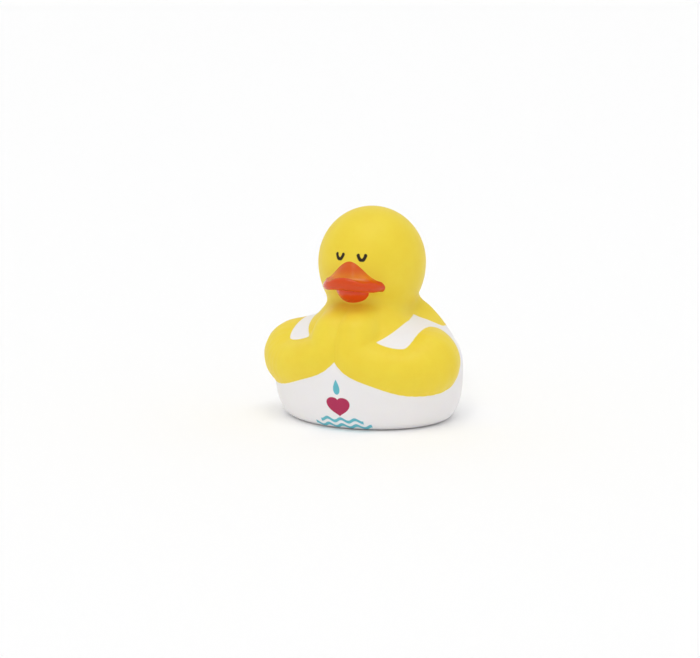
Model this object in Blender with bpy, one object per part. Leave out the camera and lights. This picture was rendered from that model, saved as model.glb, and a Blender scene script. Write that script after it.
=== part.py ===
"""Bath duck with folded arms, slush-moulded in soft vinyl, with a push-in squeaker.

Metres, +Z up. The duck faces -Y and stands on its flat base at z = 0, and the
middle of its width and length is the Z axis. Lengths below are in millimetres.
"""
import math

import bmesh
import bpy
from mathutils import Matrix, Vector

MM = 0.001

# Moulding
WALL = 2.2               # vinyl wall
BASE_Z = 0.0             # the duck stands here
FORM_SHIFT_Y = -2.15     # puts the middle of the length on the Z axis
VOXEL = 0.8              # grain of the clay model
SKIN_FACES = 5200        # triangles of the outer skin
HOLLOW_FACES = 1200      # triangles of the hollow

# Tub-shaped body, a rounded squarish egg
BODY_CENTRE = (0, -1.4, 16.8)
BODY_RADII = (35.0, 30.0, 21.2)
BODY_LOWER = 26.5
BODY_POWER = 2.6

# Head, round above and longer below where it runs into the neck
HEAD_CENTRE = (0, 1.4, 56.0)
HEAD_RADII = (19.7, 19.2, 20.4)
HEAD_LOWER = 22.9

# Tail, from the middle of the back up to its tip: x, y, z, radius
TAIL = [(0, 12.4, 31.1, 13.8), (0, 33.6, 33.9, 2.9)]
TAIL_WIDTH = 1.55

# Chest, filling the space between the neck and the hands
CHEST_CENTRE = (0, -6.2, 34.3)
CHEST_RADII = (15.4, 15.3, 9.9)
CHEST_POWER = 2.8

# Arm, from the shoulder round the elbow to the fingertips: x, y, z, radius
ARM = [
    (22.1, 4.5, 25.9, 6.3),
    (22.4, -0.6, 24.3, 9.8),
    (25.8, -8.3, 22.3, 11.8),
    (21.5, -17.5, 20.5, 9.3),
    (12.4, -22.1, 22.4, 8.8),
    (5.0, -23.3, 25.8, 8.7),
    (4.2, -22.2, 33.1, 7.0),
]

# Bill: ridge, upper lip and lower lip
RIDGE = [(0, -15.5, 56.0, 3.6), (0, -21.5, 51.4, 2.8)]
RIDGE_WIDTH = 1.35
LIP_CENTRE = (0, -13.7, 49.8)
LIP_RADII = (12.0, 10.9, 2.1)
LIP_RISE = -0.2          # the lip climbs this much per mm towards the front
LOWER_LIP_CENTRE = (0, -13.7, 48.0)
LOWER_LIP_RADII = (6.4, 6.0, 4.5)

# Squeaker, pushed into a round seat in the base
FIT = 0.3                # free gap between touching pieces
SEAT_RADIUS = 6.5
HOUSING_RADIUS = SEAT_RADIUS - FIT
HOUSING_BOTTOM = 0.6
HOUSING_TOP = 8.0
COLLAR_RADIUS = 8.2
COLLAR_HEIGHT = 1.5
AIR_HOLE_RADIUS = 1.6
HOUSING_FLOOR = 2.4
HOUSING_WALL = 1.4
REED_THICKNESS = 0.4
REED_HOLE_RADIUS = 0.8
TURN_STEPS = 40


def clear_scene():
    """Removes whatever the file started with."""
    for item in list(bpy.data.objects):
        bpy.data.objects.remove(item, do_unlink=True)


def finish_material(name, colour, roughness):
    """Plain Principled finish for one sub-part."""
    material = bpy.data.materials.new(name)
    material.use_nodes = True
    shader = material.node_tree.nodes["Principled BSDF"]
    shader.inputs["Base Color"].default_value = (*colour, 1.0)
    shader.inputs["Roughness"].default_value = roughness
    shader.inputs["Metallic"].default_value = 0.0
    material.diffuse_color = (*colour, 1.0)
    return material


def add_ball(clay, centre, radii, lower=None, power=2.0, shrink=0.0, floor=None, rise=0.0):
    """Adds a rounded egg; power above 2 squares its profile, lower is its depth below."""
    made = bmesh.ops.create_uvsphere(clay, u_segments=64, v_segments=40, radius=1.0)
    wide, deep, high = (r - shrink for r in radii)
    low = (lower or radii[2]) - shrink
    for vert in made["verts"]:
        x, y, z = vert.co
        size = (math.hypot(x, y) ** power + abs(z) ** power) ** (-1 / power)
        y_out = y * size * deep
        z_out = centre[2] + z * size * (high if z > 0 else low) + rise * y_out
        if floor is not None:
            z_out = max(z_out, floor)
        vert.co = (centre[0] + x * size * wide, centre[1] + y_out, z_out)


def add_limb(clay, points, width=1.0, side=1):
    """Adds a round limb along a smooth curve, with ball ends; width stretches it in X."""
    curve = bpy.data.curves.new("limb", "CURVE")
    curve.dimensions = "3D"
    curve.bevel_depth = 1.0
    curve.bevel_resolution = 8
    curve.resolution_u = 10
    curve.use_fill_caps = True
    spline = curve.splines.new("BEZIER")
    spline.bezier_points.add(len(points) - 1)
    for knot, (x, y, z, radius) in zip(spline.bezier_points, points):
        knot.co = (side * x / width, y, z)
        knot.radius = radius
        knot.handle_left_type = knot.handle_right_type = "AUTO"
    holder = bpy.data.objects.new("limb", curve)
    bpy.context.collection.objects.link(holder)
    tube = holder.evaluated_get(bpy.context.evaluated_depsgraph_get()).to_mesh()
    before = len(clay.verts)
    clay.from_mesh(tube)
    for x, y, z, radius in points:
        add_ball(clay, (side * x / width, y, z), (radius, radius, radius))
    clay.verts.ensure_lookup_table()
    for vert in clay.verts[before:]:
        vert.co.x *= width
    bpy.data.objects.remove(holder, do_unlink=True)
    bpy.data.curves.remove(curve)


def link_mesh(name, clay, scale=MM):
    """Puts a bmesh made in millimetres into the scene as an object in metres."""
    bmesh.ops.recalc_face_normals(clay, faces=clay.faces)
    mesh = bpy.data.meshes.new(name)
    clay.to_mesh(mesh)
    clay.free()
    mesh.transform(Matrix.Scale(scale, 4))
    part = bpy.data.objects.new(name, mesh)
    bpy.context.collection.objects.link(part)
    return part


def bake_modifiers(part):
    """Replaces the object's mesh by its evaluated one and drops the modifiers."""
    evaluated = part.evaluated_get(bpy.context.evaluated_depsgraph_get())
    mesh = bpy.data.meshes.new_from_object(evaluated)
    part.modifiers.clear()
    part.data = mesh


def fuse(part, smoothing, faces):
    """Fuses overlapping clay into one skin, softens its creases and thins it out."""
    remesh = part.modifiers.new("fuse", "REMESH")
    remesh.mode = "VOXEL"
    remesh.voxel_size = VOXEL * MM
    soften = part.modifiers.new("soften", "SMOOTH")
    soften.factor = 0.5
    soften.iterations = smoothing
    bake_modifiers(part)
    part.data.calc_loop_triangles()
    thin = part.modifiers.new("thin", "DECIMATE")
    thin.ratio = faces / len(part.data.loop_triangles)
    bake_modifiers(part)


def cut(part, cutter):
    """Takes the cutter away from the part."""
    difference = part.modifiers.new("cut", "BOOLEAN")
    difference.operation = "DIFFERENCE"
    difference.solver = "EXACT"
    difference.object = cutter
    bake_modifiers(part)
    bpy.data.objects.remove(cutter, do_unlink=True)


def flatten_base(part):
    """Trims the underside to one flat face and sets it down at z = 0."""
    skin = bmesh.new()
    skin.from_mesh(part.data)
    trim = 0.3 * MM
    everything = skin.verts[:] + skin.edges[:] + skin.faces[:]
    bmesh.ops.bisect_plane(
        skin, geom=everything, plane_co=(0, 0, trim), plane_no=(0, 0, 1), clear_inner=True
    )
    rim = [edge for edge in skin.edges if edge.is_boundary]
    bmesh.ops.contextual_create(skin, geom=rim)
    bmesh.ops.translate(skin, verts=skin.verts, vec=(0, FORM_SHIFT_Y * MM, BASE_Z - trim))
    bmesh.ops.triangulate(skin, faces=skin.faces)
    bmesh.ops.recalc_face_normals(skin, faces=skin.faces)
    skin.to_mesh(part.data)
    skin.free()


def turned(name, profile):
    """Spins a closed outline of radius and height points round the Z axis."""
    lathe = bmesh.new()
    verts = [lathe.verts.new((radius, 0, z)) for radius, z in profile]
    edges = [lathe.edges.new((a, b)) for a, b in zip(verts, verts[1:] + verts[:1])]
    bmesh.ops.spin(
        lathe, geom=verts + edges, cent=(0, 0, 0), axis=(0, 0, 1),
        angle=math.tau, steps=TURN_STEPS,
    )
    bmesh.ops.remove_doubles(lathe, verts=lathe.verts, dist=0.001)
    return link_mesh(name, lathe)


def make_duck_body():
    """The hollow vinyl moulding: body, tail, head, bill and folded arms in one skin."""
    clay = bmesh.new()
    add_ball(clay, BODY_CENTRE, BODY_RADII, BODY_LOWER, BODY_POWER, floor=BASE_Z)
    add_ball(clay, HEAD_CENTRE, HEAD_RADII, HEAD_LOWER)
    add_ball(clay, CHEST_CENTRE, CHEST_RADII, power=CHEST_POWER)
    add_limb(clay, TAIL, width=TAIL_WIDTH)
    for side in (-1, 1):
        add_limb(clay, ARM, side=side)
    add_limb(clay, RIDGE, width=RIDGE_WIDTH)
    add_ball(clay, LIP_CENTRE, LIP_RADII, rise=LIP_RISE)
    add_ball(clay, LOWER_LIP_CENTRE, LOWER_LIP_RADII)
    duck = link_mesh("duck_body", clay)
    fuse(duck, smoothing=3, faces=SKIN_FACES)
    flatten_base(duck)

    air = bmesh.new()
    inner_floor = BASE_Z + WALL
    add_ball(air, BODY_CENTRE, BODY_RADII, BODY_LOWER, BODY_POWER, WALL, inner_floor)
    add_ball(air, HEAD_CENTRE, HEAD_RADII, HEAD_LOWER, shrink=WALL)
    hollow = link_mesh("hollow", air)
    fuse(hollow, smoothing=4, faces=HOLLOW_FACES)
    hollow.data.transform(Matrix.Translation(Vector((0, FORM_SHIFT_Y * MM, 0))))
    cut(duck, hollow)

    hole = bmesh.new()
    bmesh.ops.create_cone(
        hole, cap_ends=True, segments=TURN_STEPS, radius1=SEAT_RADIUS, radius2=SEAT_RADIUS,
        depth=4 * WALL,
    )
    cut(duck, link_mesh("hole", hole))
    duck.data.materials.clear()
    duck.data.materials.append(finish_material("yellow_vinyl", (0.85, 0.64, 0.08), 0.42))
    duck.data.shade_smooth()
    duck.data.set_sharp_from_angle(angle=math.radians(50))
    return duck


def make_squeaker_housing():
    """Turned cup with a collar that lies on the inside of the base."""
    collar_bottom = WALL + FIT
    collar_top = collar_bottom + COLLAR_HEIGHT
    bore = HOUSING_RADIUS - HOUSING_WALL
    outline = [
        (HOUSING_RADIUS, HOUSING_BOTTOM),
        (HOUSING_RADIUS, collar_bottom),
        (COLLAR_RADIUS, collar_bottom),
        (COLLAR_RADIUS, collar_top),
        (HOUSING_RADIUS, collar_top),
        (HOUSING_RADIUS, HOUSING_TOP),
        (bore, HOUSING_TOP),
        (bore, HOUSING_FLOOR),
        (AIR_HOLE_RADIUS, HOUSING_FLOOR),
        (AIR_HOLE_RADIUS, HOUSING_BOTTOM),
    ]
    housing = turned("squeaker_housing", outline)
    housing.data.materials.append(finish_material("white_plastic", (0.8, 0.8, 0.78), 0.35))
    return housing


def make_squeaker_reed():
    """Thin pierced disc that buzzes over the air hole, loose in the cup."""
    edge = HOUSING_RADIUS - HOUSING_WALL - FIT
    bottom = HOUSING_FLOOR + FIT
    top = bottom + REED_THICKNESS
    outline = [(edge, bottom), (edge, top), (REED_HOLE_RADIUS, top), (REED_HOLE_RADIUS, bottom)]
    reed = turned("squeaker_reed", outline)
    reed.data.materials.append(finish_material("clear_film", (0.75, 0.78, 0.8), 0.2))
    return reed


clear_scene()
make_duck_body()
make_squeaker_housing()
make_squeaker_reed()
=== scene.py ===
import math

import bpy
import numpy as np
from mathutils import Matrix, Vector


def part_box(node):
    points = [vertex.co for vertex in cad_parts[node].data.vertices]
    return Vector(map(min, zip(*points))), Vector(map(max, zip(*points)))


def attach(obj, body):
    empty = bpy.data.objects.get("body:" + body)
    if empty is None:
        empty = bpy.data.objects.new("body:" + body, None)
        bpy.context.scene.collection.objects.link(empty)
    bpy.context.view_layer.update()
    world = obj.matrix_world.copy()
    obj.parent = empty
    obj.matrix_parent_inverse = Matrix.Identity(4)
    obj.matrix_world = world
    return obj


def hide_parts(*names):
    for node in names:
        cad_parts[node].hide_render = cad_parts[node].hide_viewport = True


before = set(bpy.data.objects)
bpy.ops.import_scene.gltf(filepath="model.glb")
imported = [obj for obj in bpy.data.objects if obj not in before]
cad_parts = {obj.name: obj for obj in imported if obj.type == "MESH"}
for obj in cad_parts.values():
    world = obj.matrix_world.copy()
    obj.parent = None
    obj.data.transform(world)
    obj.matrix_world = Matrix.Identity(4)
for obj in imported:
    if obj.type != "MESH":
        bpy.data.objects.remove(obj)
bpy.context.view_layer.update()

# ---------------------------------------------------------------------------------------
# Duck moulding. One hollow skin of soft PVC vinyl, slush-cast in a closed metal mould and
# pulled out through the hole in its base. Body, tail, head, bill and the folded arms all
# come out of the mould together; every length here is in millimetres.
# ---------------------------------------------------------------------------------------
MM = 0.001
TAIL_TIP = (0, 33.9, 33.9)
TAIL_TIP_RADIUS = 2.4
back_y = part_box("duck_body")[1][1] / MM
form_y = back_y - (TAIL_TIP[1] + TAIL_TIP_RADIUS)    # slides the form until the tail tips agree

BODY = dict(centre=(0, -1.4, 16.8), radii=(35.0, 30.0, 21.2), lower=26.5, power=2.6)
HEAD = dict(centre=(0, 1.4, 56.0), radii=(19.6, 19.1, 20.2), lower=22.8)
BASE_ROUNDING = 2.7
NECK_BLEND = 3.8
TAIL_BLEND = 5.0
TAIL_ROOT = (0, 12.4, 31.1)
TAIL_ROOT_RADIUS = 14.8
TAIL_HOLLOW = 1.3                 # above 1 the tail thins quickly and then runs out slim
TAIL_WIDTH = 1.55
ARM_BLEND = 1.2
HAND_MELT = 5.0                   # extra softness where the hands lie on the chest
MELT_HEIGHT = (26, 34)            # it comes in over this height
MELT_WIDTH = (15, 9)              # and towards the middle over this half width
ARM_KNOTS = np.array([            # shoulder, elbow, wrist, fingertips: x, y, z, radius
    (22.1, 4.5, 25.9, 6.3),
    (22.4, -0.6, 24.3, 9.8),
    (25.8, -8.3, 22.3, 11.6),
    (21.5, -17.5, 20.5, 9.3),
    (12.4, -22.1, 22.4, 8.8),
    (5.0, -23.3, 25.8, 8.7),
    (4.2, -22.2, 33.1, 7.0),
])
ARM_STEPS = 5                     # straight pieces between two knots
CHEST = dict(centre=(0, -6.2, 34.3), radii=(15.4, 15.3, 9.9), power=2.85)
CHEST_BLEND = 6.0
BILL_BACK_Y = -13.7
BILL_Z = 49.6                     # middle of the rim at its sides
BILL_TIP_LIFT = 1.9
RIM_REACH = (10.3, 9.5)           # half width and length of the rim's centre line
RIM_RADIUS = 1.05
RIM_TIP_EXTRA = 1.2
RIM_TIP_SHARPNESS = 4             # how closely the extra height keeps to the tip
RIM_END_TURN = -0.25              # radians past the side at which the rim stops
RIM_DEPTH = 0.4                   # the plate lies this far under the middle of the rim
RIM_FILLET = 1.5
PLATE_UNDER = 1.0                 # underside of the plate below the middle of the rim
BROW_Z = 50.1                     # height of the plate where it runs out on the cheeks
RIDGE_HEIGHT = 8.4
RIDGE_HALF_WIDTH = 7.3
RIDGE_FRONT_Y = -23.5
RIDGE_BACK_Y = -17.1
CHIN = dict(centre=(0, -13.7, 48.4), radii=(6.4, 6.0, 2.5), lower=4.9)
CHIN_FILLET = 0.5
BILL_FILLET = 0.8
SEAT_RADIUS = 6.5                 # hole in the base that the squeaker is pushed into
WALL = 2.2
CHAMBER = dict(centre=(0, 0, 12.0), radii=(14.0, 14.0, 10.0))
SKIN_STEP = 0.56                  # size of the quads in the skin
SKIN_SMOOTHING = (0.7, 0.6, 0.5, 0.4, 0.0)
CAST_LOW = (-40.5, -36.5, -1.0)   # box that the skin is looked for in
CAST_HIGH = (40.5, 39.5, 78.5)
NECKLINE_Z = 38.3                 # top of the shoulder, where both scoops begin
SCOOP_HALF_WIDTH = 18.1
SCOOP_DEPTH = 9.4
STRAP_TAPER_Y = -6.0              # behind this the straps lean in towards the neck
STRAP_TAPER_RUN = 20
SCOOP_TAPER = 0.2
STRAP_TOP_Y = 1.7                 # back edge of the strap on the shoulder
STRAP_SLANT = 0.5
BACK_HALF_WIDTH = 27.0
BACK_DEPTH = 15.0
BACK_ROUNDING = 3.0
BARE_ABOVE_Z = 44                 # neck and head are never cloth
BILL_PAINT_OVERLAP = 0.18         # bill paint runs this far past the joint line


def egg(p, centre, radii, lower=None, power=2.0):
    """Distance to a rounded egg; a power above 2 squares it, lower is its depth below."""
    q = p - np.array(centre, p.dtype)
    high = np.where(q[:, 2] < 0, lower or radii[2], radii[2])
    flat = np.sqrt((q[:, 0] / radii[0]) ** 2 + (q[:, 1] / radii[1]) ** 2) + 1e-6
    tall = np.abs(q[:, 2]) / high + 1e-6
    level = (flat ** power + tall ** power) ** (1 / power)
    pull = (flat / level) ** (power - 1) / flat
    slope = np.sqrt(
        (pull * q[:, 0] / radii[0] ** 2) ** 2
        + (pull * q[:, 1] / radii[1] ** 2) ** 2
        + ((tall / level) ** (power - 1) / high) ** 2
    )
    return (level - 1) / slope


def limb(p, a, b, radius_a, radius_b, hollow=1.0):
    """Distance to a straight round limb; hollow above 1 thins it in a curve towards b."""
    run = np.array(b) - np.array(a)
    q = p - np.array(a, p.dtype)
    along = np.clip(q @ run.astype(p.dtype) / (run @ run), 0, 1)
    gap = q - along[:, None] * run.astype(p.dtype)
    taper = (radius_a - radius_b) * (1 - along) ** hollow
    return np.sqrt((gap ** 2).sum(1)) - radius_b - taper


def join(a, b, blend):
    """Unites two forms with a fillet of the given size."""
    overlap = np.maximum(blend - np.abs(a - b), 0) / blend
    return np.minimum(a, b) - overlap ** 2 * blend / 4


def smooth_path(knots, steps):
    """Points on a Catmull-Rom curve through the knots."""
    ends = np.vstack([2 * knots[0] - knots[1], knots, 2 * knots[-1] - knots[-2]])
    path = []
    for a, b, c, d in zip(ends, ends[1:], ends[2:], ends[3:]):
        for t in np.arange(steps) / steps:
            bend = 2 * a - 5 * b + 4 * c - d
            swing = 3 * b - a - 3 * c + d
            path.append((2 * b + (c - a) * t + bend * t ** 2 + swing * t ** 3) / 2)
    return np.array(path + [knots[-1]])


def step_up(value, low, high):
    """Smooth 0 to 1 ramp between low and high."""
    t = np.clip((value - low) / (high - low), 0, 1)
    return t * t * (3 - 2 * t)


def arm_form(q):
    """Distance to a folded arm, a chain of short limbs from shoulder to fingertips."""
    path = smooth_path(ARM_KNOTS, ARM_STEPS)
    arm = np.full(len(q), 1e3, q.dtype)
    for a, b in zip(path, path[1:]):
        arm = np.minimum(arm, limb(q, a[:3], b[:3], a[3], b[3]))
    return arm


def bill_form(q):
    """Upper bill, a dished plate with a rolled rim and a ridge, and the lip under it."""
    x, y, z = q.T
    ahead = BILL_BACK_Y - y
    turn = np.arctan2(ahead / RIM_REACH[1], x / RIM_REACH[0])
    turn = np.clip(turn, RIM_END_TURN, math.pi / 2)
    tip = np.clip(np.sin(turn), 0, 1) ** RIM_TIP_SHARPNESS
    lie = BILL_Z + BILL_TIP_LIFT * tip
    rim_x, rim_y = np.cos(turn) * RIM_REACH[0], BILL_BACK_Y - np.sin(turn) * RIM_REACH[1]
    thick = RIM_RADIUS / (RIM_RADIUS + RIM_TIP_EXTRA * tip)
    rim = np.sqrt((x - rim_x) ** 2 + (y - rim_y) ** 2 + ((z - lie) * thick) ** 2) - RIM_RADIUS
    ridge = RIDGE_HEIGHT * np.exp(-(x / RIDGE_HALF_WIDTH) ** 2)
    climb = np.clip((y - RIDGE_FRONT_Y) / (RIDGE_BACK_Y - RIDGE_FRONT_Y), 0, 1)
    steep = 6 * climb * (1 - climb) / (RIDGE_BACK_Y - RIDGE_FRONT_Y)
    climb = climb * climb * (3 - 2 * climb)
    gain = BROW_Z - lie + RIM_DEPTH + ridge
    across = 2 * x / RIDGE_HALF_WIDTH ** 2 * ridge * climb
    top = (z - lie + RIM_DEPTH - gain * climb) / np.sqrt(1 + across ** 2 + (steep * gain) ** 2)
    under = lie - PLATE_UNDER - z
    plan = (np.sqrt((x / RIM_REACH[0]) ** 2 + (ahead / RIM_REACH[1]) ** 2) - 1) * RIM_REACH[1]
    plate = np.maximum(np.maximum(top, under), plan)
    upper = join(rim, plate, RIM_FILLET)
    return join(upper, egg(q, **CHIN), CHIN_FILLET)


def dish_depth(q):
    """How far a point of the bill lies behind the middle of the rim, in the dish."""
    ahead = (BILL_BACK_Y - q[:, 1]) / RIM_REACH[1]
    return (1 - np.hypot(q[:, 0] / RIM_REACH[0], ahead)) * RIM_REACH[1]


def duck_parts(p):
    """Distances to the trunk with head and tail, to the arms and to the bill."""
    q = p.copy()
    q[:, 0] = np.abs(q[:, 0])
    body = -join(-egg(q, **BODY), q[:, 2], BASE_ROUNDING)
    tail_q = (q - np.array(TAIL_ROOT, q.dtype)) / np.array((TAIL_WIDTH, 1, 1), q.dtype)
    run = np.array(TAIL_TIP) - np.array(TAIL_ROOT)
    tail = limb(tail_q, (0, 0, 0), run, TAIL_ROOT_RADIUS, TAIL_TIP_RADIUS, TAIL_HOLLOW)
    trunk = join(join(body, tail, TAIL_BLEND), egg(q, **CHEST), CHEST_BLEND)
    trunk = join(egg(q, **HEAD), trunk, NECK_BLEND)
    return q, trunk, arm_form(q), bill_form(q)


def duck_form(p):
    """Signed distance to the whole moulding, with the squeaker's hole in the base."""
    q, trunk, arms, bill = duck_parts(p)
    melt = step_up(q[:, 2], *MELT_HEIGHT) * step_up(q[:, 0], *MELT_WIDTH)
    skin = join(join(trunk, arms, ARM_BLEND + HAND_MELT * melt), bill, BILL_FILLET)
    hole = np.maximum(np.hypot(q[:, 0], q[:, 1] + form_y) - SEAT_RADIUS, q[:, 2] - 2 * WALL)
    chamber = egg(q - np.array((0, -form_y, 0), q.dtype), **CHAMBER)
    chamber = np.maximum(chamber, WALL - q[:, 2])
    return np.maximum(skin, -np.minimum(hole, chamber))


def cast(form, low, high, step):
    """Turns a distance form into a mesh of even quads lying on its surface."""
    axes = [np.arange(a, b + step, step, dtype=np.float32) for a, b in zip(low, high)]
    spots = np.stack(np.meshgrid(*axes, indexing="ij"), -1)
    shape = spots.shape[:3]
    inside = np.concatenate([form(slab.reshape(-1, 3)) < 0 for slab in spots]).reshape(shape)
    corners = [slice(0, -1), slice(1, None)]
    count = sum(inside[i, j, k].astype(int) for i in corners for j in corners for k in corners)
    cells = (count > 0) & (count < 8)
    number = np.full(cells.shape, -1)
    number[cells] = np.arange(cells.sum())
    points = spots[:-1, :-1, :-1][cells] + np.float32(step / 2)
    quads = []
    for axis in range(3):
        u, v = (axis + 1) % 3, (axis + 2) % 3
        near = np.moveaxis(inside, (axis, u, v), (0, 1, 2))
        ids = np.moveaxis(number, (axis, u, v), (0, 1, 2))
        change = near[:-1, 1:-1, 1:-1] != near[1:, 1:-1, 1:-1]
        a, b, c = np.nonzero(change)
        ring = [ids[a, b, c], ids[a, b + 1, c], ids[a, b + 1, c + 1], ids[a, b, c + 1]]
        face = np.stack(ring, 1)
        out = near[:-1, 1:-1, 1:-1][a, b, c]
        face[~out] = face[~out, ::-1]
        quads.append(face)
    quads = np.concatenate(quads)
    edges = np.concatenate([quads[:, [i, (i + 1) % 4]] for i in range(4)])
    weight = np.bincount(edges[:, 0], minlength=len(points))
    for smoothing in SKIN_SMOOTHING:
        sums = [np.bincount(edges[:, 0], points[edges[:, 1], k], len(points)) for k in range(3)]
        mean = np.stack(sums, 1) / weight[:, None]
        points = settle(form, (points + smoothing * (mean - points)).astype(np.float32))
    return points, quads


def settle(form, points, nudge=0.03):
    """Moves points onto the surface of a form."""
    for _ in range(2):
        value = form(points)
        steps = np.eye(3, dtype=np.float32) * nudge
        slope = np.stack([form(points + d) - form(points - d) for d in steps], 1) / (2 * nudge)
        steepness = (slope ** 2).sum(1)[:, None] + 1e-3
        points = points - np.clip(value, -1, 1)[:, None] * slope / steepness
    return points


def neckline(q):
    """Distance from the two scooped edges of the painted top, positive on the cloth side."""
    x, y, z = q.T
    drop = np.minimum(z - NECKLINE_Z, 0)
    wide = SCOOP_HALF_WIDTH - SCOOP_TAPER * np.clip(y - STRAP_TAPER_Y, 0, STRAP_TAPER_RUN)
    front = (np.hypot(x / wide, drop / SCOOP_DEPTH) - 1) * SCOOP_DEPTH
    behind = y - STRAP_TOP_Y - STRAP_SLANT * (x - SCOOP_HALF_WIDTH)
    back = (1 - np.hypot(x / BACK_HALF_WIDTH, drop / BACK_DEPTH)) * BACK_DEPTH
    return np.minimum(front, -join(behind, back, BACK_ROUNDING))


points, quads = cast(duck_form, CAST_LOW, CAST_HIGH, SKIN_STEP * (1))
q, trunk, arms, bill = duck_parts(points)
skin_mesh = bpy.data.meshes.new("duck_skin")
placed = (points + np.array((0, form_y, 0))) * MM
skin_mesh.from_pydata(placed.tolist(), [], quads.tolist())
for name, values in {
    "top_edge": np.minimum(np.minimum(arms - trunk, neckline(q)), BARE_ABOVE_Z - q[:, 2]),
    "bill_edge": join(trunk, arms, ARM_BLEND) + BILL_PAINT_OVERLAP - bill,
    "dish": dish_depth(q),
}.items():
    store = skin_mesh.attributes.new(name, "FLOAT", "POINT")
    store.data.foreach_set("value", values.astype(np.float32))
skin_mesh.shade_smooth()
duck = bpy.data.objects.new("duck_skin", skin_mesh)
bpy.context.collection.objects.link(duck)


class Tap:
    """A shader value. Arithmetic on it adds the Math nodes to the material in hand."""

    tree = None

    def __init__(self, socket):
        self.socket = socket

    @classmethod
    def node(cls, kind, settings=None, inputs=None, out=0):
        made = cls.tree.nodes.new(kind)
        for key, value in (settings or {}).items():
            setattr(made, key, value)
        for key, value in (inputs or {}).items():
            if isinstance(value, Tap):
                cls.tree.links.new(value.socket, made.inputs[key])
            else:
                made.inputs[key].default_value = value
        return Tap(made.outputs[out])

    def math(self, operation, other=0.0, swap=False):
        pair = (other, self) if swap else (self, other)
        return Tap.node("ShaderNodeMath", {"operation": operation}, {0: pair[0], 1: pair[1]})

    def __add__(self, other):
        return self.math("ADD", other)

    def __sub__(self, other):
        return self.math("SUBTRACT", other)

    def __rsub__(self, other):
        return self.math("SUBTRACT", other, swap=True)

    def __mul__(self, other):
        return self.math("MULTIPLY", other)

    def __truediv__(self, other):
        return self.math("DIVIDE", other)

    def __pow__(self, other):
        return self.math("POWER", other)

    def __abs__(self):
        return self.math("ABSOLUTE")

    __radd__ = __add__
    __rmul__ = __mul__

    def min(self, other):
        return self.math("MINIMUM", other)

    def max(self, other):
        return self.math("MAXIMUM", other)

    def ramp(self, low, high):
        """Smooth 0 to 1 as the value goes from low to high."""
        return Tap.node(
            "ShaderNodeMapRange", {"interpolation_type": "SMOOTHSTEP"},
            {"Value": self, "From Min": low, "From Max": high},
        )

    def paint(self, under, over):
        """Lays the colour over on top of the colour under where this mask is 1."""
        return Tap.node(
            "ShaderNodeMix", {"data_type": "RGBA"}, {"Factor": self, 6: under, 7: over}, out=2
        )

    def blend(self, low, high):
        """A number going from low to high with this mask."""
        return self * (high - low) + low


def srgb(red, green, blue):
    """Linear colour from 0 to 255 screen values."""
    values = [c / 255 for c in (red, green, blue)]
    return (*[c / 12.92 if c < 0.04045 else ((c + 0.055) / 1.055) ** 2.4 for c in values], 1.0)


def new_material(name):
    """A material with a Principled shader, and the tree that new nodes now go into."""
    material = bpy.data.materials.new(name)
    material.use_nodes = True
    Tap.tree = material.node_tree
    return material, material.node_tree.nodes["Principled BSDF"]


def feed(shader, **inputs):
    """Sets or links the Principled shader's sockets by name."""
    for key, value in inputs.items():
        socket = shader.inputs[key.replace("_", " ")]
        if isinstance(value, Tap):
            Tap.tree.links.new(value.socket, socket)
        else:
            socket.default_value = value


def noise(scale, detail=3.0, rough=0.5):
    """Even noise over the object, 0 to 1; scale is in waves per metre."""
    where = Tap.node("ShaderNodeTexCoord", out=3)
    inputs = {"Vector": where, "Scale": scale, "Detail": detail, "Roughness": rough}
    return Tap.node("ShaderNodeTexNoise", inputs=inputs)


def dot(vector, axis):
    """How far a vector reaches along an axis."""
    settings = {"operation": "DOT_PRODUCT"}
    return Tap.node("ShaderNodeVectorMath", settings, {0: vector, 1: axis}, out=1)


def along(direction, origin):
    """Distance along a direction from an origin, all in millimetres."""
    where = Tap.node("ShaderNodeTexCoord", out=3)
    start = tuple(-c * MM for c in origin)
    moved = Tap.node("ShaderNodeVectorMath", {"operation": "ADD"}, {0: where, 1: start})
    return dot(moved, direction) / MM


def layer(name):
    """A value stored on the points of the skin."""
    return Tap.node("ShaderNodeAttribute", {"attribute_name": name}, out=2)


# Paint. The vinyl is yellow all through. The white top and the bill are sprayed through
# metal masks; the eyes, the heart and the water marks are pad-printed over them.
YELLOW = srgb(238, 213, 62)
YELLOW_DEEP = srgb(236, 208, 56)
VEST_WHITE = srgb(239, 237, 237)
VEST_SHADE = srgb(235, 232, 234)
BILL_ORANGE = srgb(212, 88, 10)
BILL_DISH = srgb(224, 132, 24)    # thinner paint in the hollow behind the rim
BILL_RIM = srgb(212, 70, 4)
CHIN_RED = srgb(226, 74, 22)
EYE_BROWN = srgb(34, 22, 14)
PRINT_TEAL = srgb(98, 184, 198)
PRINT_HEART = srgb(176, 44, 86)
EDGE = 0.12                       # softness of a paint edge
MOTTLE_SCALE = 90
MOTTLE_RANGE = (0.3, 0.7)
VEST_MOTTLE = 0.6
DISH_RANGE = (0.6, 2.2)           # hollow behind the rim, from its front to full depth
DISH_TOP_Z = (56.5, 52.5)
RIM_PAINT_RANGE = (1.2, 0.2)
CHIN_TOP_Z = (50.0, 49.2)
CHIN_RANGE = (1.0, 2.0)           # the lip lies this far behind the middle of the rim
PRINT_DEPTH = (8, 9)              # prints are only on the front, ahead of the middle
EYE_SPREAD = math.radians(13.4)
EYE_CENTRE_Y = 1.0
EYE_Z = 59.3                      # lowest point of the closed lid
EYE_RADIUS = 18.8
EYE_BEND = 1.0
EYE_TALL = 1.7
EYE_STROKE = 0.57
EYE_EDGE = 0.1
PRINT_SHIFT = 2.4                 # the pad print sits a little off the middle and leans
PRINT_LEAN = 0.085
HEART_Z = 8.3
HEART_HALF_WIDTH = 4.4
HEART_HALF_HEIGHT = 3.1
HEART_LOBE = 0.62                 # how far the two lobes rise above the notch
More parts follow.
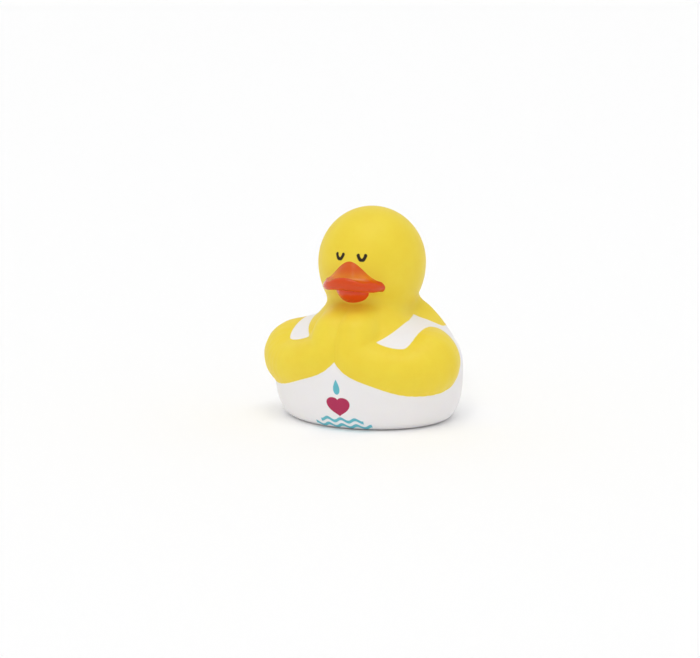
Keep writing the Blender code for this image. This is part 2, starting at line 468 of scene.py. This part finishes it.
HEART_EDGE = 0.03
DROP_BOTTOM_Z = 13.4              # drop printed above the heart
DROP_TALL = 5.6
DROP_HALF_WIDTH = 1.35
DROP_FULLNESS = 2.6               # brings the widest place of its curve to the half width
WAVE_Z = (1.6, 3.9)               # two ripples printed under the heart
WAVE_HALF_LENGTH = (10.5, 8.0)
WAVE_PITCH = 5.2
WAVE_RISE = 0.55
WAVE_STROKE = 0.5
WAVE_SLOPE = 0.85                 # evens the stroke where the ripple runs steep
VINYL_ROUGHNESS = 0.45
BILL_ROUGHNESS = 0.16
BILL_COAT = 0.2
FINE_GRAIN = 2600
FINE_GRAIN_HEIGHT = 0.6
COARSE_GRAIN = 420

material, shader = new_material("duck_vinyl_painted")
mottle = noise(MOTTLE_SCALE, detail=4, rough=0.6)
yellow = mottle.ramp(*MOTTLE_RANGE).paint(YELLOW, YELLOW_DEEP)
vest = layer("top_edge").ramp(-EDGE, EDGE)
white = (mottle * VEST_MOTTLE).paint(VEST_WHITE, VEST_SHADE)
colour = vest.paint(yellow, white)

beak = layer("bill_edge").ramp(-EDGE, EDGE)
height = along((0, 0, 1), (0, 0, 0))
behind = layer("dish")
hollow = behind.ramp(*DISH_RANGE) * height.ramp(*DISH_TOP_Z)
orange = hollow.paint(BILL_ORANGE, BILL_DISH)
orange = behind.ramp(*RIM_PAINT_RANGE).paint(orange, BILL_RIM)
chin = height.ramp(*CHIN_TOP_Z) * behind.ramp(*CHIN_RANGE)
orange = chin.paint(orange, CHIN_RED)
colour = beak.paint(colour, orange)

front = along((0, -1, 0), (0, form_y, 0)).ramp(*PRINT_DEPTH)
eye_x, eye_y = math.sin(EYE_SPREAD), math.cos(EYE_SPREAD)
eyes = None
for side in (-1, 1):
    centre = (side * EYE_RADIUS * eye_x, form_y + EYE_CENTRE_Y - EYE_RADIUS * eye_y, EYE_Z)
    u = along((side * eye_y, eye_x, 0), centre)
    v = along((0, 0, 1), centre)
    curve = abs(v - u * u * EYE_BEND) / ((u * u * (4 * EYE_BEND ** 2) + 1) ** 0.5)
    stroke = (curve - EYE_STROKE).max(v - EYE_TALL)
    tip_u = abs(u) - (EYE_TALL / EYE_BEND) ** 0.5
    tips = (tip_u ** 2 + (v - EYE_TALL) ** 2) ** 0.5 - EYE_STROKE
    mark = stroke.min(tips)
    eyes = mark if eyes is None else eyes.min(mark)
lash = eyes.ramp(EYE_EDGE, -EYE_EDGE) * front
colour = lash.paint(colour, EYE_BROWN)

across = along((1, 0, 0), (PRINT_SHIFT, 0, 0)) + height * PRINT_LEAN
heart_x = abs(across) / HEART_HALF_WIDTH
heart_z = (height - HEART_Z) / HEART_HALF_HEIGHT
heart_edge = (heart_x ** 2 + (heart_z - heart_x ** 0.5 * HEART_LOBE) ** 2) ** 0.5 - 1
heart = heart_edge.ramp(HEART_EDGE, -HEART_EDGE) * front
colour = heart.paint(colour, PRINT_HEART)

rise = (height - DROP_BOTTOM_Z) / DROP_TALL
belly = (1 - rise).max(0) * (rise.max(0) ** 0.5) * (DROP_HALF_WIDTH * DROP_FULLNESS)
water = (belly - abs(across)).ramp(0, 2 * EDGE)
for level, half_length in zip(WAVE_Z, WAVE_HALF_LENGTH):
    ripple = (across * (math.tau / WAVE_PITCH)).math("COSINE") * WAVE_RISE
    stroke = abs(height - level - ripple) * WAVE_SLOPE - WAVE_STROKE
    stroke = stroke.max(abs(across) - half_length)
    water = water.max(stroke.ramp(EDGE, -EDGE))
colour = (water * front).paint(colour, PRINT_TEAL)

gloss = beak.blend(VINYL_ROUGHNESS, BILL_ROUGHNESS)
feed(shader, Base_Color=colour, Roughness=gloss, Metallic=0.0, IOR=1.34)
feed(shader, Subsurface_Weight=0.12, Subsurface_Radius=(1.0, 0.6, 0.25), Subsurface_Scale=0.002)
feed(shader, Coat_Weight=beak * BILL_COAT, Coat_Roughness=0.05)
grain = noise(FINE_GRAIN, detail=2) * FINE_GRAIN_HEIGHT + noise(COARSE_GRAIN)
relief = {"Strength": 0.08, "Distance": 0.0004, "Height": grain}
feed(shader, Normal=Tap.node("ShaderNodeBump", inputs=relief))
skin_mesh.materials.append(material)
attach(duck, "root")
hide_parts("duck_body")

# ---------------------------------------------------------------------------------------
# Squeaker. A turned white plastic cup pushed into the hole in the base, held by a collar
# behind the wall, with a loose film reed inside that buzzes when the duck is squeezed.
# ---------------------------------------------------------------------------------------
CUP_WHITE = srgb(232, 232, 228)
CUP_SHADE = srgb(222, 222, 218)
REED_CLEAR = srgb(226, 230, 232)
REED_SHADE = srgb(210, 216, 220)

material, shader = new_material("squeaker_white")
colour = noise(300).ramp(*MOTTLE_RANGE).paint(CUP_WHITE, CUP_SHADE)
feed(shader, Base_Color=colour, Roughness=noise(900).blend(0.3, 0.45), Metallic=0.0)
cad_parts["squeaker_housing"].data.materials.clear()
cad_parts["squeaker_housing"].data.materials.append(material)

material, shader = new_material("reed_film")
colour = noise(500).ramp(*MOTTLE_RANGE).paint(REED_CLEAR, REED_SHADE)
feed(shader, Base_Color=colour, Roughness=noise(700).blend(0.12, 0.25), Metallic=0.0)
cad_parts["squeaker_reed"].data.materials.clear()
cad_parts["squeaker_reed"].data.materials.append(material)

# ---------------------------------------------------------------------------------------
# Studio. A seamless white sweep under an even white sky with one long softbox overhead, a
# distant soft lamp, and the camera.
# ---------------------------------------------------------------------------------------
SWEEP_HALF = 30.0
FLOOR_WHITE = srgb(254, 254, 254)
SKY = 0.76                        # brightness of the dome
HORIZON = 1.0                     # and of its lowest part, which the floor fades into
HORIZON_RANGE = (0.12, 0.0)
WINDOW = 3.4                      # brightness of the long softbox above the front
WINDOW_RANGE = (0.91, 0.93)       # it starts at this sine of the height
WINDOW_FACING = (0.3, -0.95, 0)
WINDOW_BACK = (-0.02, 0.04)       # and ends behind the duck
KEY_AZIMUTH, KEY_ELEVATION = math.radians(5), math.radians(46)
KEY_SPREAD = math.radians(8)
KEY_STRENGTH = 0.24
VIEW_AZIMUTH, VIEW_ELEVATION = math.radians(25), math.radians(11)
VIEW_DISTANCE = 0.707
AIM_HEIGHT = 0.035
AIM_RIGHT, AIM_UP = -0.00742, -0.00364

floor_mesh = bpy.data.meshes.new("floor")
floor_corners = [(x * SWEEP_HALF, y * SWEEP_HALF, 0) for x, y in ((-1, -1), (1, -1), (1, 1), (-1, 1))]
floor_mesh.from_pydata(floor_corners, [], [(0, 1, 2, 3)])
floor = bpy.data.objects.new("floor", floor_mesh)
bpy.context.collection.objects.link(floor)
material, shader = new_material("floor_white")
feed(shader, Base_Color=FLOOR_WHITE, Roughness=0.9)
floor_mesh.materials.append(material)

world = bpy.data.worlds.new("studio")
world.use_nodes = True
background = world.node_tree.nodes["Background"]
background.inputs["Color"].default_value = (1.0, 1.0, 1.0, 1.0)
Tap.tree = world.node_tree
direction = Tap.node("ShaderNodeTexCoord", out=0)
climb = dot(direction, (0, 0, 1))
window = climb.ramp(*WINDOW_RANGE) * dot(direction, WINDOW_FACING).ramp(*WINDOW_BACK)
glow = climb.ramp(*HORIZON_RANGE).blend(SKY, HORIZON) + window * (WINDOW - SKY)
Tap.tree.links.new(glow.socket, background.inputs["Strength"])
bpy.context.scene.world = world


def outward(azimuth, elevation):
    """Unit vector, its azimuth turned from straight ahead towards the duck's left hand."""
    return Vector((
        math.sin(azimuth) * math.cos(elevation),
        -math.cos(azimuth) * math.cos(elevation),
        math.sin(elevation),
    ))


lamp = bpy.data.lights.new("key", "SUN")
lamp.angle = KEY_SPREAD
lamp.energy = KEY_STRENGTH
key = bpy.data.objects.new("key", lamp)
key.location = outward(KEY_AZIMUTH, KEY_ELEVATION)
key.rotation_euler = key.location.to_track_quat("Z", "Y").to_euler()
bpy.context.collection.objects.link(key)

back = outward(VIEW_AZIMUTH, VIEW_ELEVATION)
right = Vector((math.cos(VIEW_AZIMUTH), math.sin(VIEW_AZIMUTH), 0))
aim = Vector((0, form_y * MM, AIM_HEIGHT)) + right * AIM_RIGHT + back.cross(right) * AIM_UP
lens = bpy.data.cameras.new("camera")
lens.lens = 100
lens.sensor_width = 36
lens.clip_start = 0.05
camera = bpy.data.objects.new("camera", lens)
camera.location = aim + back * VIEW_DISTANCE
camera.rotation_euler = (-back).to_track_quat("-Z", "Y").to_euler()
bpy.context.collection.objects.link(camera)
bpy.context.scene.camera = camera
bpy.context.scene.view_settings.view_transform = "Standard"
